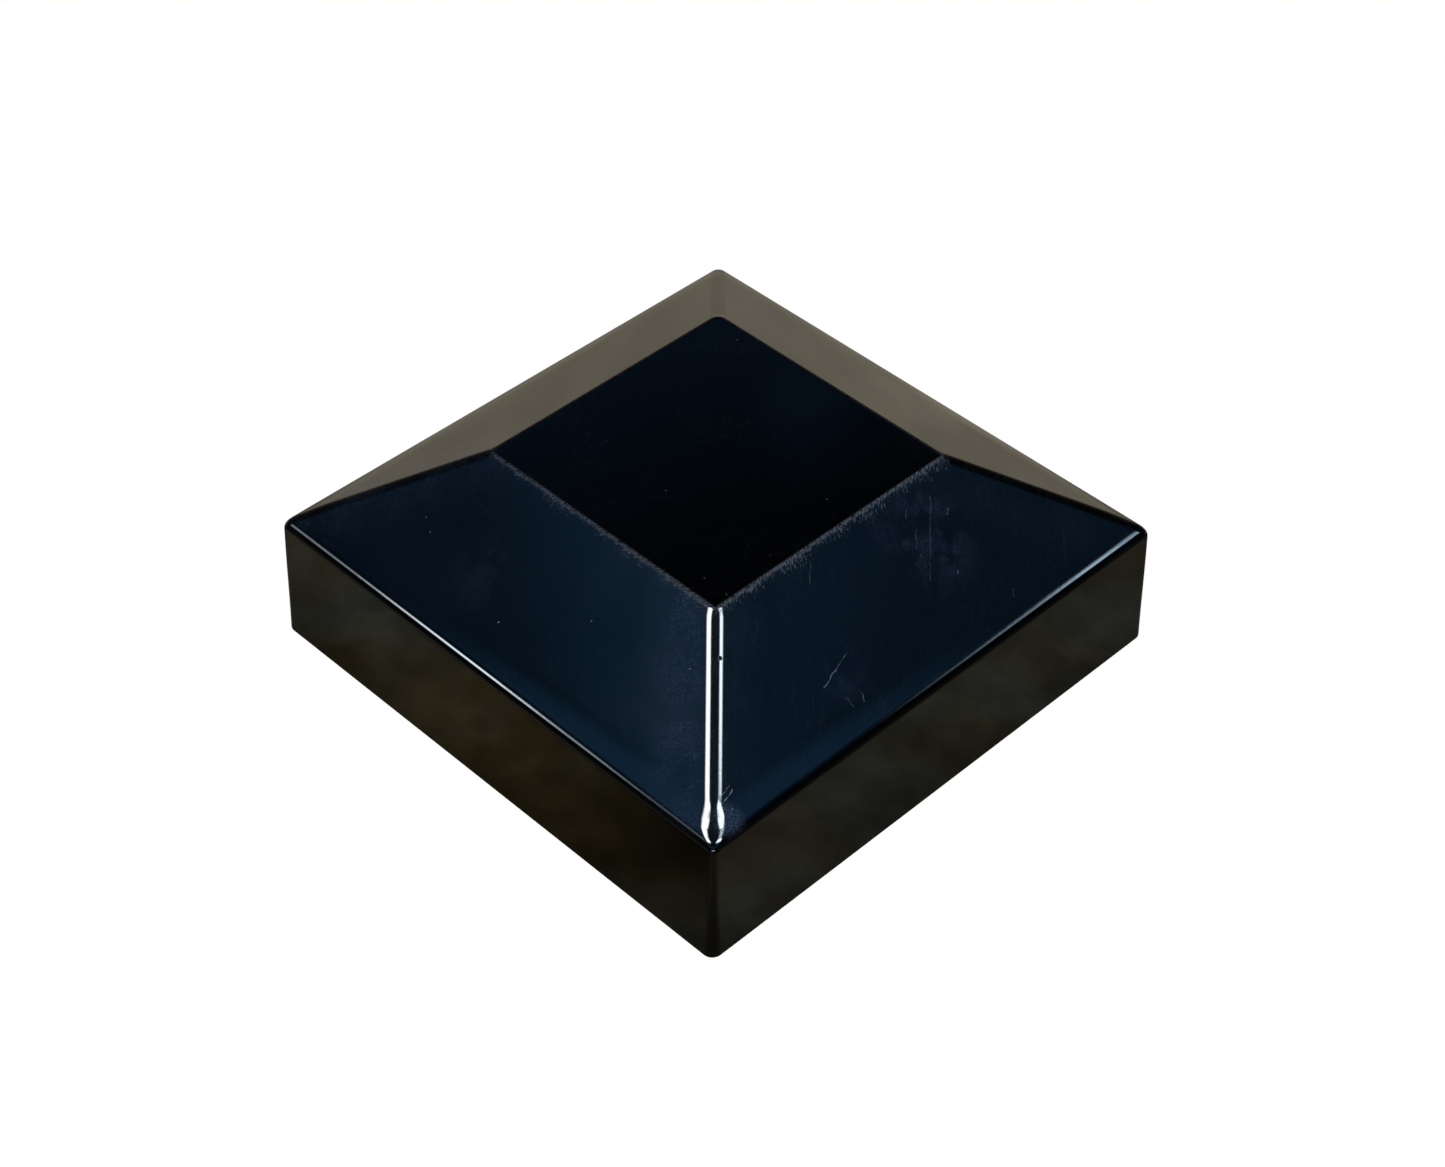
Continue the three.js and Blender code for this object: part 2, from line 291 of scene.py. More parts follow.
class Tree:
    """Builds the nodes of a material or world. An input may be a number, a colour or a node's output."""

    def __init__(self, owner):
        owner.use_nodes = True
        self.owner = owner
        owner.node_tree.nodes.clear()

    def node(self, kind, inputs=None, **settings):
        made = self.owner.node_tree.nodes.new("ShaderNode" + kind)
        for name, value in settings.items():
            setattr(made, name, value)
        for name, value in (inputs or {}).items():
            self.put(made.inputs[name], value)
        return made

    def put(self, socket, value):
        if isinstance(value, bpy.types.NodeSocket):
            self.owner.node_tree.links.new(value, socket)
        else:
            socket.default_value = value

    def split(self, vector):
        """The three parts of a vector."""
        return self.node("SeparateXYZ", {0: vector}).outputs

    def joined(self, x, y=0.0, z=0.0):
        return self.node("CombineXYZ", {0: x, 1: y, 2: z}).outputs[0]

    def turned(self, vector, degrees):
        """The vector turned about +Z."""
        inputs = {"Vector": vector, "Angle": math.radians(degrees)}
        return self.node("VectorRotate", inputs).outputs[0]

    def math(self, operation, a, b=0.0, c=0.0, clamp=False):
        made = self.node("Math", {0: a, 1: b, 2: c}, operation=operation, use_clamp=clamp)
        return made.outputs[0]

    def product(self, *factors):
        return functools.reduce(functools.partial(self.math, "MULTIPLY"), factors)

    def total(self, *values):
        return functools.reduce(functools.partial(self.math, "ADD"), values)

    def largest(self, *values):
        return functools.reduce(functools.partial(self.math, "MAXIMUM"), values)

    def less(self, a, b):
        return self.math("SUBTRACT", a, b)

    def size(self, value):
        """The number without its sign."""
        return self.math("ABSOLUTE", value)

    def ramp(self, value, low, high, out_low=0.0, out_high=1.0, smoothly=True):
        """Maps low..high onto out_low..out_high, clamped at both ends."""
        kind = "SMOOTHSTEP" if smoothly else "LINEAR"
        inputs = {"Value": value, "From Min": low, "From Max": high, "To Min": out_low, "To Max": out_high}
        return self.node("MapRange", inputs, interpolation_type=kind, clamp=True).outputs[0]

    def fall(self, value, low, high, strength=1.0):
        """The strength up to low, easing off to 0 at high."""
        return self.ramp(value, low, high, strength, 0.0)

    def around(self, value, centre, inner, outer, strength=1.0):
        """A soft pulse: the strength within inner of the centre, 0 beyond outer."""
        return self.fall(self.size(self.less(value, centre)), inner, outer, strength)

    def mix(self, share, a, b):
        return self.node("Mix", {0: share, 2: a, 3: b}).outputs[0]

    def painted(self, share, under, over, clamp=True):
        """One colour over another, by a share of 0 to 1; unclamped, the share may go past 1."""
        made = self.node("Mix", {0: share, 6: under, 7: over}, data_type="RGBA", clamp_factor=clamp)
        return made.outputs[2]

    def dimmed(self, share, colour):
        """A colour times a share, which may be over 1."""
        return self.painted(share, (0, 0, 0, 1), colour, clamp=False)

    def vector(self, operation, a, b=(0, 0, 0), scale=1.0):
        made = self.node("VectorMath", {0: a, 1: b}, operation=operation)
        if operation == "SCALE":
            self.put(made.inputs["Scale"], scale)
        return made.outputs["Value" if operation in ("DOT_PRODUCT", "LENGTH") else "Vector"]

    def stretched(self, vector, factors):
        return self.vector("MULTIPLY", vector, factors)

    def along(self, vector, direction):
        """How far the vector reaches in a direction."""
        return self.vector("DOT_PRODUCT", vector, direction)

    def distance(self, a, b):
        return self.vector("LENGTH", self.vector("SUBTRACT", a, b))

    def noise(self, vector, grain, detail=2.0, roughness=0.5, seed=0.0, flat=False):
        """Noise from 0 to 1 whose grain has a given size in metres; flat noise has no third direction."""
        seed_step = (0.113 * seed, 0.071 * seed, 0.0 if flat else 0.057 * seed)
        moved = self.vector("ADD", vector, seed_step)
        inputs = {"Vector": moved, "Scale": 1 / grain, "Detail": detail, "Roughness": roughness}
        kind = "2D" if flat else "3D"
        return self.node("TexNoise", inputs, noise_dimensions=kind).outputs["Fac"]

    def bump(self, height, distance, normal=None):
        inputs = {"Height": height, "Distance": distance, "Strength": 1.0}
        if normal:
            inputs["Normal"] = normal
        return self.node("Bump", inputs).outputs[0]

    def coated(self, colour, roughness, normal, metallic=0.0):
        """Ends a material with a surface, and returns the material."""
        inputs = {"Base Color": colour, "Roughness": roughness, "Normal": normal}
        inputs |= {"Metallic": metallic, "IOR": 1.5}
        return self.finish(self.node("BsdfPrincipled", inputs))

    def finish(self, surface, kind="OutputMaterial"):
        self.node(kind, {"Surface": surface.outputs[0]})
        return self.owner


def new_material(name):
    """The node tree of a new material, and the point on the object, in metres."""
    tree = Tree(bpy.data.materials.new(name))
    return tree, tree.node("TexCoord").outputs["Object"]


# ---- Materials ----

COAT_BLACK = (0.0005, 0.0005, 0.0006, 1)
SHEEN_AND_SCUFF_PALE = (0.09, 0.13, 0.23, 1)  # painted sheen beside the ridges, a painted highlight at the front ridge's foot, and scuffs,
MARK_PALE = (0.12, 0.15, 0.20, 1)  # scratches and fuzz,
DUST_PALE = (0.30, 0.32, 0.34, 1)  # and specks on it
COAT_ROUGHNESS = (0.05, 0.09)  # where the coat is wiped clean, and where it is smeared
PEEL = (1.3 * MM, 0.0035 * MM)  # grain and height of the coat's orange peel,
FINE_PEEL = (0.3 * MM, 0.0006 * MM)  # of a finer one on it
WAVE = (14 * MM, 0.02 * MM)  # and of the casting's slow waviness

# Marks on the roof are placed as seen from above, in millimetres.
# Each scratch runs from (x, y) to (x, y), and has a strength.
SCRATCHES = [
    ((27.9, 17.8), (36.8, 8.4), 0.2),
    ((30.4, 12.0), (32.3, 10.0), 0.2),
    ((33.4, 10.0), (33.6, 9.8), 0.5),
    ((30.5, 19.1), (31.1, 18.4), 0.5),
    ((27.7, 12.7), (28.5, 11.9), 0.3),
    ((26.2, -6.6), (28.4, -8.9), 0.2),
    ((38.0, -10.8), (39.0, -14.3), 0.3),
    ((39.0, -14.3), (40.0, -17.7), 0.6),
    ((43.2, -12.9), (44.2, -13.6), 0.4),
    ((42.4, -15.6), (44.0, -15.5), 0.25),
    ((37.7, 13.7), (38.1, 13.3), 0.5),
    ((43.7, 19.8), (44.5, 19.0), 0.25),
    ((44.2, -42.3), (43.6, -39.8), 0.5),
    ((43.3, -41.7), (42.9, -39.9), 0.4),
    ((-3.8, -41.6), (-3.7, -41.5), 0.6),
    ((-24.0, -37.4), (-23.8, -37.4), 0.35),
    ((23.3, -21.1), (23.5, -21.2), 0.5),
]
SCRATCH_W = 0.11 * MM
SCRATCH_STRAY = 0.6 * MM  # how far a scratch strays from its line

# Each patch has a middle, a radius and a strength.
SCUFFS = [
    ((31, 13), 11, 1.2),
    ((39.5, -14), 6, 0.7),
    ((-12, -38), 7, 0.6),
    ((-33, 10), 8, 0.8),
    ((8, 37), 7, 0.7),
]
FOOT_GLINT = ((46.0, -43.2), 3.2, 4.0)  # painted highlight: pale streaks at the foot of the front ridge
CHIP = ((29.7, -28.7), 0.4, 1.0)  # a nick in that ridge


def scratch(tree, level, start, end, strength):
    """One scratch: its strength along the line from start to end, 0 away from it."""
    start, end = Vector((*start, 0)) * MM, Vector((*end, 0)) * MM
    line = end - start
    offset = tree.vector("SUBTRACT", level, tuple(start))
    share = tree.along(offset, tuple(line / line.length_squared))
    share = tree.math("MULTIPLY", share, 1, clamp=True)
    nearest = tree.vector("SCALE", tuple(line), scale=share)
    return tree.fall(tree.distance(offset, nearest), 0.2 * SCRATCH_W, SCRATCH_W, strength)


def scratches(tree, place):
    """All the scratches of the list, slightly crooked and broken."""
    crooked = tree.node("TexNoise", {"Vector": place, "Scale": 700, "Detail": 2})
    wobble = tree.vector("SUBTRACT", crooked.outputs["Color"], (0.5, 0.5, 0.5))
    moved = tree.vector("ADD", place, tree.vector("SCALE", wobble, scale=SCRATCH_STRAY))
    level = tree.stretched(moved, (1, 1, 0))
    drawn = tree.largest(*[scratch(tree, level, *one) for one in SCRATCHES])
    broken = tree.ramp(tree.noise(place, 0.5 * MM, 2, 0.6, 3), 0.35, 0.55, 0.25, 1)
    return tree.product(drawn, broken)


def patch(tree, level, middle, radius, strength, core=0.3):
    """A round patch of the roof: its strength in the core, a share of the radius, 0 past the radius."""
    distance = tree.distance(level, (middle[0] * MM, middle[1] * MM, 0))
    return tree.fall(distance, core * radius * MM, radius * MM, strength)


def hairlines(tree, place, degrees, grain, length, threshold, seed):
    """Faint broken lines that run along one direction of the plan: 1 on a line, 0 off it."""
    drawn_out = tree.stretched(tree.turned(place, degrees), (grain / length, 1, 0))
    lines = tree.noise(drawn_out, grain, 1, 0.4, seed, flat=True)
    return tree.ramp(lines, threshold, threshold + 0.06)


def edge_fuzz(tree, x, y):
    """Fine pale strands that run down the roof from the edge of the flat top, thickest on the right."""
    far_x, far_y = tree.size(x), tree.size(y)
    on_x = tree.math("GREATER_THAN", far_x, far_y)
    on_right = tree.product(on_x, tree.math("GREATER_THAN", x, 0))
    sideways = tree.mix(on_x, x, y)
    down = tree.less(tree.largest(far_x, far_y), TOP_HALF - 0.2 * MM)
    lean = tree.math("MULTIPLY_ADD", down, 0.6, sideways)
    strands = tree.noise(tree.joined(lean, tree.product(down, 0.5)), 0.3 * MM, 3, 0.7, 5, flat=True)
    patches = tree.noise(tree.joined(sideways), 3 * MM, 2, 0.6, 8, flat=True)
    length = tree.product(tree.ramp(patches, 0.3, 0.75, 1.4, 3.2), tree.ramp(on_right, 0, 1, 0.75, 1), MM)
    share = tree.math("DIVIDE", down, length)
    limit = tree.ramp(share, 0, 1, 0.36, 0.72, smoothly=False)
    return tree.product(
        tree.ramp(tree.less(strands, limit), -0.06, 0.26),
        tree.ramp(down, -0.3 * MM, 0.1 * MM),
        tree.ramp(on_right, 0, 1, 0.7, 1),
        tree.ramp(tree.less(y, x), -2 * MM, 2 * MM, 1, 0.3),
    )


def sheen_and_scuffs(tree, place, x, y):
    """A grainy pale film on the slopes: painted sheen beside each ridge, a painted highlight at the foot
    of the front ridge, and scuffed patches.
    """
    across = tree.less(tree.size(y), tree.size(x))
    past_ridge = tree.product(across, tree.math("SIGN", tree.product(x, y)))
    blotches = tree.noise(place, 5 * MM, 3, 0.6, 12)
    # Painted sheen: a pale band beside each ridge, standing in for the glow round its highlight.
    beside = tree.product(
        tree.ramp(past_ridge, -18 * MM, -6 * MM),
        tree.ramp(past_ridge, -4.5 * MM, -1 * MM, 1, 0.45),
        tree.fall(past_ridge, 0, 12 * MM),
        tree.ramp(y, -2 * MM, 2 * MM, 1, 0.2),
        tree.ramp(blotches, 0.3, 0.7, 0.4, 1.3),
        1.55,
    )
    level = tree.stretched(place, (1, 1, 0))
    scuffs = tree.largest(*[patch(tree, level, *one) for one in SCUFFS])
    scuffed = tree.product(scuffs, tree.ramp(blotches, 0.42, 0.6))
    # Painted highlight at the foot of the front ridge.
    foot_glint = patch(tree, level, *FOOT_GLINT)
    drawn_out = tree.stretched(tree.turned(place, 45), (1, 0.45, 1))
    grain = tree.ramp(tree.noise(drawn_out, 0.2 * MM, 3, 0.75, 11), 0.36, 0.68, 0.1, 2)
    return tree.product(tree.largest(beside, scuffed, foot_glint), grain, 0.05)


def specks(tree, place, spacing, radius, share):
    """Round specks: about one to each square of the given spacing, of which only a share shows."""
    inputs = {"Vector": place, "Scale": 1 / spacing}
    cells = tree.node("TexVoronoi", inputs, voronoi_dimensions="2D")
    spot = tree.fall(cells.outputs["Distance"], 0.5 * radius / spacing, radius / spacing)
    chance = tree.node("SeparateColor", {0: cells.outputs["Color"]}).outputs[0]
    return tree.product(spot, tree.math("LESS_THAN", chance, share))


def coat_normal(tree, place, x, y):
    """Orange peel, finer and stronger towards the front ridge, over a slow waviness of the casting."""
    peel = tree.noise(place, PEEL[0], 2, 0.45)
    fine_peel = tree.noise(place, FINE_PEEL[0], 1, 0.5, 2)
    wave = tree.noise(place, WAVE[0], 1, 0.4, 4)
    toward_ridge = tree.ramp(tree.less(x, y), 55 * MM, 80 * MM, 1, 2.5)
    normal = tree.bump(peel, PEEL[1])
    normal = tree.bump(fine_peel, tree.product(toward_ridge, FINE_PEEL[1]), normal)
    return tree.bump(wave, WAVE[1], normal)


def coat_marks(tree, place, x, y):
    """Hairlines, fuzz and scratches together."""
    on_right = tree.ramp(x, 24 * MM, 28 * MM)
    rubbed = tree.ramp(tree.noise(place, 12 * MM, 2, 0.5, 6), 0.48, 0.62)
    long_lines = hairlines(tree, place, 45, 0.3 * MM, 9 * MM, 0.66, 1.0)
    short_lines = hairlines(tree, place, 12, 0.25 * MM, 2.5 * MM, 0.7, 2.0)
    cross_lines = hairlines(tree, place, 70, 0.25 * MM, 3 * MM, 0.72, 3.0)
    return tree.largest(
        tree.product(long_lines, on_right, tree.ramp(rubbed, 0, 1, 0.006, 0.024)),
        tree.product(tree.largest(short_lines, cross_lines), rubbed, 0.03),
        tree.product(edge_fuzz(tree, x, y), 0.4),
        scratches(tree, place),
    )


def black_coat():
    """Gloss black coat with orange peel. Its roof has painted sheen beside the ridges, a painted highlight
    at the foot of the front ridge, scuffs, scratches, fuzz, dust and a nick.
    """
    tree, place = new_material("black_coat")
    x, y, z = tree.split(place)
    on_roof = tree.ramp(z, SKIRT_H - 0.5 * MM, SKIRT_H + 0.5 * MM)
    on_slope = tree.ramp(tree.largest(tree.size(x), tree.size(y)), TOP_HALF, TOP_HALF + MM)
    sheen_and_scuff_share = tree.product(sheen_and_scuffs(tree, place, x, y), on_slope, on_roof)
    marks = tree.product(coat_marks(tree, place, x, y), on_roof)
    dust = tree.product(specks(tree, place, 9 * MM, 0.12 * MM, 0.12), on_roof, 0.3)
    # The painted sheen and painted highlight, with the scuffs, go over the black.
    colour = tree.painted(sheen_and_scuff_share, COAT_BLACK, SHEEN_AND_SCUFF_PALE)
    colour = tree.painted(marks, colour, MARK_PALE)
    colour = tree.painted(dust, colour, DUST_PALE)

    smear = tree.noise(place, 20 * MM, 3, 0.6, 7)
    polish = tree.ramp(smear, 0.3, 0.75, *COAT_ROUGHNESS)
    dull_marks = tree.math("MULTIPLY", marks, 0.6, clamp=True)
    chip = patch(tree, tree.stretched(place, (1, 1, 0)), *CHIP, core=0.6)
    roughness = tree.largest(polish, dull_marks, dust, chip)
    return tree.coated(colour, roughness, coat_normal(tree, place, x, y))


def inside_coat():
    """The same black coat inside the casting, where the spray lands thin, dry and uneven."""
    tree, place = new_material("inside_coat")
    grain = tree.noise(place, 0.55 * MM, 4, 0.65)
    patches = tree.noise(place, 11 * MM, 3, 0.55, 1)
    thin = tree.ramp(tree.product(patches, grain), 0.3, 0.42)
    colour = tree.painted(thin, (0.006, 0.007, 0.008, 1), (0.035, 0.037, 0.04, 1))
    roughness = tree.ramp(grain, 0.35, 0.7, 0.32, 0.62)
    return tree.coated(colour, roughness, tree.bump(grain, 0.05 * MM))


def zinc_plate():
    """Rolled steel with a clear zinc plate: faint rolling lines and cloudy patches."""
    tree, place = new_material("zinc_plate")
    rolling = tree.noise(tree.stretched(place, (0.02, 1, 1)), 0.4 * MM, 3, 0.6)
    clouds = tree.noise(place, 8 * MM, 4, 0.6, 1)
    colour = tree.painted(clouds, (0.52, 0.55, 0.58, 1), (0.68, 0.69, 0.66, 1))
    roughness = tree.ramp(tree.total(rolling, clouds), 0.7, 1.3, 0.24, 0.42)
    return tree.coated(colour, roughness, tree.bump(rolling, 0.002 * MM), metallic=1)


def spring_steel():
    """Cold-rolled spring strip: fine lines along its length and a faint straw temper colour."""
    tree, place = new_material("spring_steel")
    x, y, z = tree.split(place)
    far_x, far_y = tree.size(x), tree.size(y)
    sideways = tree.mix(tree.math("GREATER_THAN", far_x, far_y), x, y)
    outward = tree.product(tree.largest(far_x, far_y), 0.03)
    drawn_out = tree.joined(outward, sideways, tree.product(z, 0.03))
    lines = tree.noise(drawn_out, 0.3 * MM, 2, 0.6)
    temper = tree.noise(place, 7 * MM, 2, 0.5, 1)
    colour = tree.painted(temper, (0.46, 0.45, 0.43, 1), (0.56, 0.53, 0.47, 1))
    roughness = tree.ramp(lines, 0.3, 0.7, 0.2, 0.36)
    return tree.coated(colour, roughness, tree.bump(lines, 0.0012 * MM), metallic=1)


def screw_steel():
    """Bright plated screws and washers with turning marks."""
    tree, place = new_material("screw_steel")
    marks = tree.noise(place, 0.33 * MM, 2, 0.5)
    colour = tree.painted(marks, (0.6, 0.61, 0.62, 1), (0.74, 0.74, 0.72, 1))
    roughness = tree.ramp(marks, 0.3, 0.7, 0.16, 0.3)
    return tree.coated(colour, roughness, tree.bump(marks, 0.005 * MM), metallic=1)


def foam_rubber():
    """Closed-cell foam rubber: matte black with pitted cells."""
    tree, place = new_material("foam_rubber")
    cells = tree.node("TexVoronoi", {"Vector": place, "Scale": 2400}).outputs["Distance"]
    coarse = tree.noise(place, 1.4 * MM, 3, 0.6)
    height = tree.total(cells, tree.product(coarse, 0.8))
    colour = tree.painted(cells, (0.012, 0.012, 0.013, 1), (0.035, 0.036, 0.038, 1))
    return tree.coated(colour, tree.ramp(coarse, 0.3, 0.7, 0.8, 0.95), tree.bump(height, 0.12 * MM))


# ---- Cap shell ----


def finish_piece(made, node_names, material, body="cap"):
    """Gives a piece its material, and says which CAD nodes it stands for and what it rides on."""
    made.data.materials.clear()
    made.data.materials.append(material)
    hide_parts(*node_names)
    if body:
        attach(made, body)


# How far the corners are rounded, seen from above, as (height, radius) in millimetres. The front one, at
# +X -Y, swells a little above the eave, where the coat has run down the ridge and pooled.
CORNER_ROUNDING = [(0.0, 1.7), (20.5, 1.2), (22.2, 1.2), (24.0, 1.9), (36.9, 1.9), (37.4, 1.3)]
FRONT_ROUNDING = [(0.0, 1.7), (20.5, 1.2), (22.2, 1.2), (23.7, 2.9), (25.6, 1.9), (36.9, 1.9), (37.4, 1.3)]


def eased(table, z):
    """The radius that a table of (height, radius) gives at a height, eased from one row to the next."""
    below = [row for row in table if row[0] * MM <= z] or table[:1]
    above = [row for row in table if row[0] * MM > z] or table[-1:]
    (low, radius_low), (high, radius_high) = below[-1], above[0]
    share = (z / MM - low) / (high - low) if high > low else 0
    share = share * share * (3 - 2 * share)
    return (radius_low + share * (radius_high - radius_low)) * MM


def outside_profile():
    """The casting's outline from the rim up. The roof's last few millimetres bend over into the eave."""
    corners = [(RIM_HALF - 2 * RIM_RADIUS, 0), (RIM_HALF, 0), (EAVE_HALF, SKIRT_H)]
    corners += [(EAVE_HALF - inset, SKIRT_H + rise) for inset, rise in CROWN]
    corners += [(TOP_HALF, TOTAL_H), (TOP_HALF - 4 * TOP_RADIUS, TOTAL_H)]
    line = rounded_line(corners, [RIM_RADIUS, EAVE_RADIUS, *CROWN_RADII, TOP_RADIUS])
    return with_steps(line, OUTLINE_STEP)


def with_steps(line, step):
    """The same line with extra points, so that no two lie further apart than the step."""
    points = [line[0]]
    for point in line[1:]:
        start = points[-1]
        count = math.ceil((point - start).length / step)
        points += [start.lerp(point, k / count) for k in range(1, count + 1)]
    return points


def inside_profile():
    """The hollow's outline, a wall's thickness inside the casting's, from below the rim up."""
    below = -5 * MM
    ceiling = TOTAL_H - WALL
    skirt_foot = RIM_HALF - WALL * math.hypot(1, DRAFT)
    roof_peak = SKIRT_H + EAVE_HALF * ROOF_SLOPE - WALL * math.hypot(1, ROOF_SLOPE)
    eave_z = (roof_peak - ROOF_SLOPE * skirt_foot) / (1 - ROOF_SLOPE * DRAFT)
    top_half = (roof_peak - ceiling) / ROOF_SLOPE
    corners = [(skirt_foot - DRAFT * below, below), (skirt_foot - DRAFT * eave_z, eave_z)]
    corners += [(top_half, ceiling), (top_half - 4 * INNER_RADIUS, ceiling)]
    return rounded_line(corners, [INNER_RADIUS, INNER_RADIUS], 6)


def cap_shell(outside, inside):
    """The casting: an outside solid less a hollow, in which the bosses, ribs and pads stand."""
    above = TOTAL_H + MM
    ceiling = TOTAL_H - WALL
    hollow = tower("hollow", inside_profile(), lambda z: INNER_RADIUS)
    standing, marks, pilots = [], [], []
    for i in range(4):
        standing.append(turned(rod(SCREW_R, 0, BOSS_R, BOSS_BOTTOM, above), i))
        rib = slab((SCREW_R, -RIB_T / 2, RIB_BOTTOM), (RIM_HALF + MM, RIB_T / 2, above))
        standing.append(turned(rib, i))
        standing.append(turned(rod(PAD_PLACE, PAD_PLACE, PAD_R, FRAME_TOP, above), i))
        mark = rod(EJECTOR_PLACE, EJECTOR_PLACE, EJECTOR_R, ceiling - MM, ceiling + EJECTOR_DEPTH)
        marks.append(turned(mark, i))
        pilot = rod(SCREW_R, 0, PILOT_R, BOSS_BOTTOM - MM, BOSS_BOTTOM + PILOT_DEPTH)
        pilots.append(turned(pilot, i))
    combine(hollow, standing, "DIFFERENCE")
    combine(hollow, marks, "UNION")
    radius_at = functools.partial(eased, CORNER_ROUNDING)
    front_radius_at = functools.partial(eased, FRONT_ROUNDING)
    shell = tower("shell", outside_profile(), radius_at, front_radius_at)
    combine(shell, [hollow], "DIFFERENCE")
    combine(shell, pilots, "DIFFERENCE")
    smooth(shell)
    finish_piece(shell, ["cap_shell"], outside)
    shell.data.materials.append(inside)
    paint_inside(shell)


def paint_inside(shell):
    """Gives the faces that lie behind the wall the inside's material."""
    skin = 0.6 * WALL
    peak = SKIRT_H + EAVE_HALF * ROOF_SLOPE
    for face in shell.data.polygons:
        reach = max(abs(face.center.x), abs(face.center.y))
        behind_skirt = RIM_HALF - DRAFT * face.center.z - reach > skin
        behind_roof = peak - ROOF_SLOPE * reach - face.center.z > skin
        face.material_index = int(behind_skirt and behind_roof and TOTAL_H - face.center.z > skin)


# ---- Pieces inside the cap ----


def edge_round(low, high, radius, steps):
    """(inset, height) from the low face round to the high face of a plate whose edge is rounded."""
    angles = [math.pi / 2 * s / steps for s in range(steps + 1)]
    lower = [(radius * (1 - math.sin(a)), low + radius * (1 - math.cos(a))) for a in angles]
    upper = [(radius * (1 - math.cos(a)), high - radius * (1 - math.sin(a))) for a in angles]
    return lower + upper


def square_ring(name, outer, inner, low, high, edge, steps=4):
    """A flat ring between two rounded squares, each (half width, radius), with its four edges rounded."""
    rows = edge_round(low, high, edge, steps)
    loops = [rounded_square(outer[0] - inset, outer[1] - inset, z) for inset, z in rows]
    loops += [rounded_square(inner[0] + inset, inner[1] + inset, z) for inset, z in reversed(rows)]
    return skinned(name, loops, closed=True)


def retainer_frame(material):
    """Stamped steel frame that the screws pull up against the clips."""
    hole = (FRAME_HOLE_HALF, FRAME_HOLE_RADIUS)
    made = square_ring("frame", (FRAME_HALF, RING_RADIUS), hole, FRAME_BOTTOM, FRAME_TOP, FRAME_EDGE)
    holes = [turned(rod(SCREW_R, 0, CLEARANCE_R, FRAME_BOTTOM - MM, FRAME_TOP + MM), i) for i in range(4)]
    combine(made, holes, "DIFFERENCE")
    smooth(made, 50)
    finish_piece(made, ["retainer_frame"], material)


def seat_gasket(material):
    """Foam ring that the top of the post presses on; its cut sides bow out a little."""
    outer, inner = (FRAME_HALF, RING_RADIUS), (GASKET_HOLE_HALF, RING_RADIUS)
    made = square_ring("gasket", outer, inner, gasket_low.z, gasket_high.z, GASKET_EDGE, 8)
    smooth(made, 80)
    finish_piece(made, ["seat_gasket"], material)


def clip_line():
    """The middle line of a clip from its inner end to its tip, as (distance from the axis, height)."""
    foot_z = FRAME_TOP + CLIP_T / 2
    corners = [(CLIP_INNER_END, foot_z), (CLIP_DROP, foot_z), (CLIP_DROP, CLIP_KNEE_Z)]
    corners += [(CLIP_BELLY, CLIP_BELLY_Z), CLIP_TIP]
    line = rounded_line(corners, [CLIP_BEND, CLIP_BELLY_RADIUS, CLIP_BELLY_RADIUS])
    return with_steps(line, CLIP_STEP)


def clip_half_width(from_foot, from_tip):
    """Half the strip's width: its corners are rounded, widely at the foot and closely at the tip."""
    half = CLIP_W / 2
    for distance, radius in ((from_foot, CLIP_FOOT_ROUND), (from_tip, CLIP_TIP_ROUND)):
        if distance < radius:
            half = min(half, CLIP_W / 2 - radius + math.sqrt(radius**2 - (radius - distance) ** 2))
    return half


def clip_stations():
    """Places along a clip's line, closer together round its two ends, with the lengths run so far."""
    line = clip_line()
    lengths = [0.0]
    for a, b in zip(line, line[1:]):
        lengths.append(lengths[-1] + (b - a).length)
    total = lengths[-1]
    margin = 0.02 * MM
    wanted = set(lengths)
    for k in range(1, FILLET_STEPS):
        share = 1 - math.cos(math.pi / 2 * k / FILLET_STEPS)
        wanted |= {margin + share * CLIP_FOOT_ROUND, total - margin - share * CLIP_TIP_ROUND}
    stations = []
    for length in sorted(wanted):
        k = max(i for i, start in enumerate(lengths[:-1]) if start <= length)
        share = (length - lengths[k]) / (lengths[k + 1] - lengths[k])
        along = (line[min(k + 2, len(line) - 1)] - line[max(k - 1, 0)]).normalized()
        stations.append((line[k].lerp(line[k + 1], share), along, length, total - length))
    return stations


def spring_clip(side, quarter, material):
    """One bent strip: its foot is clamped under the boss and its leg springs from the bend."""
    loops = []
    for place, along, from_foot, from_tip in clip_stations():
        out = Vector((along.y, -along.x))
        half_width = clip_half_width(from_foot, from_tip)
        loop = []
        for across, thick in rounded_box(half_width, CLIP_T / 2, [CLIP_EDGE] * 4, 3):
            spot = place + out * thick
            loop.append((spot.x, across, spot.y))
        loops.append(loop)
    made = skinned("clip_" + side + "_strip", loops)
    hole = rod(SCREW_R, 0, CLEARANCE_R, FRAME_TOP - MM, FRAME_TOP + CLIP_T + MM)
    combine(made, [hole], "DIFFERENCE")
    smooth(made, 50)
    turned(made, quarter)
    nodes = ["clip_foot_" + side, "clip_leg_" + side]
    finish_piece(made, nodes, material, body=None)
    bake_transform(made)


def screw_radius(z, angle):
    """Radius of the threaded shank, with the thread run out below the head and at the tip."""
    phase = (z / THREAD_PITCH - angle / (2 * math.pi)) % 1
    height = max(0.0, 1 - abs(phase - 0.5) / 0.4)
    start = min(max((z - HEAD_TOP - THREAD_RUNOUT) / THREAD_RUNOUT, 0), 1)
    taper = min(max((HEAD_TOP + SCREW_L - z) / SCREW_POINT, 0), 1)
    root = SCREW_D / 2 - THREAD_DEPTH
    return (root + THREAD_DEPTH * height * start) * (0.6 + 0.4 * taper)


def cross_recess():
    """A tapering cross to cut into a screw head."""
    sections = [(HEAD_BOTTOM - MM, *RECESS_MOUTH), (HEAD_BOTTOM + RECESS_DEPTH, *RECESS_FLOOR)]
    slots = []
    for quarter in range(2):
        loops = []
        for z, half, width in sections:
            loops.append([(half, -width, z), (half, width, z), (-half, width, z), (-half, -width, z)])
        slots.append(turned(skinned("tool", loops), quarter))
    return slots


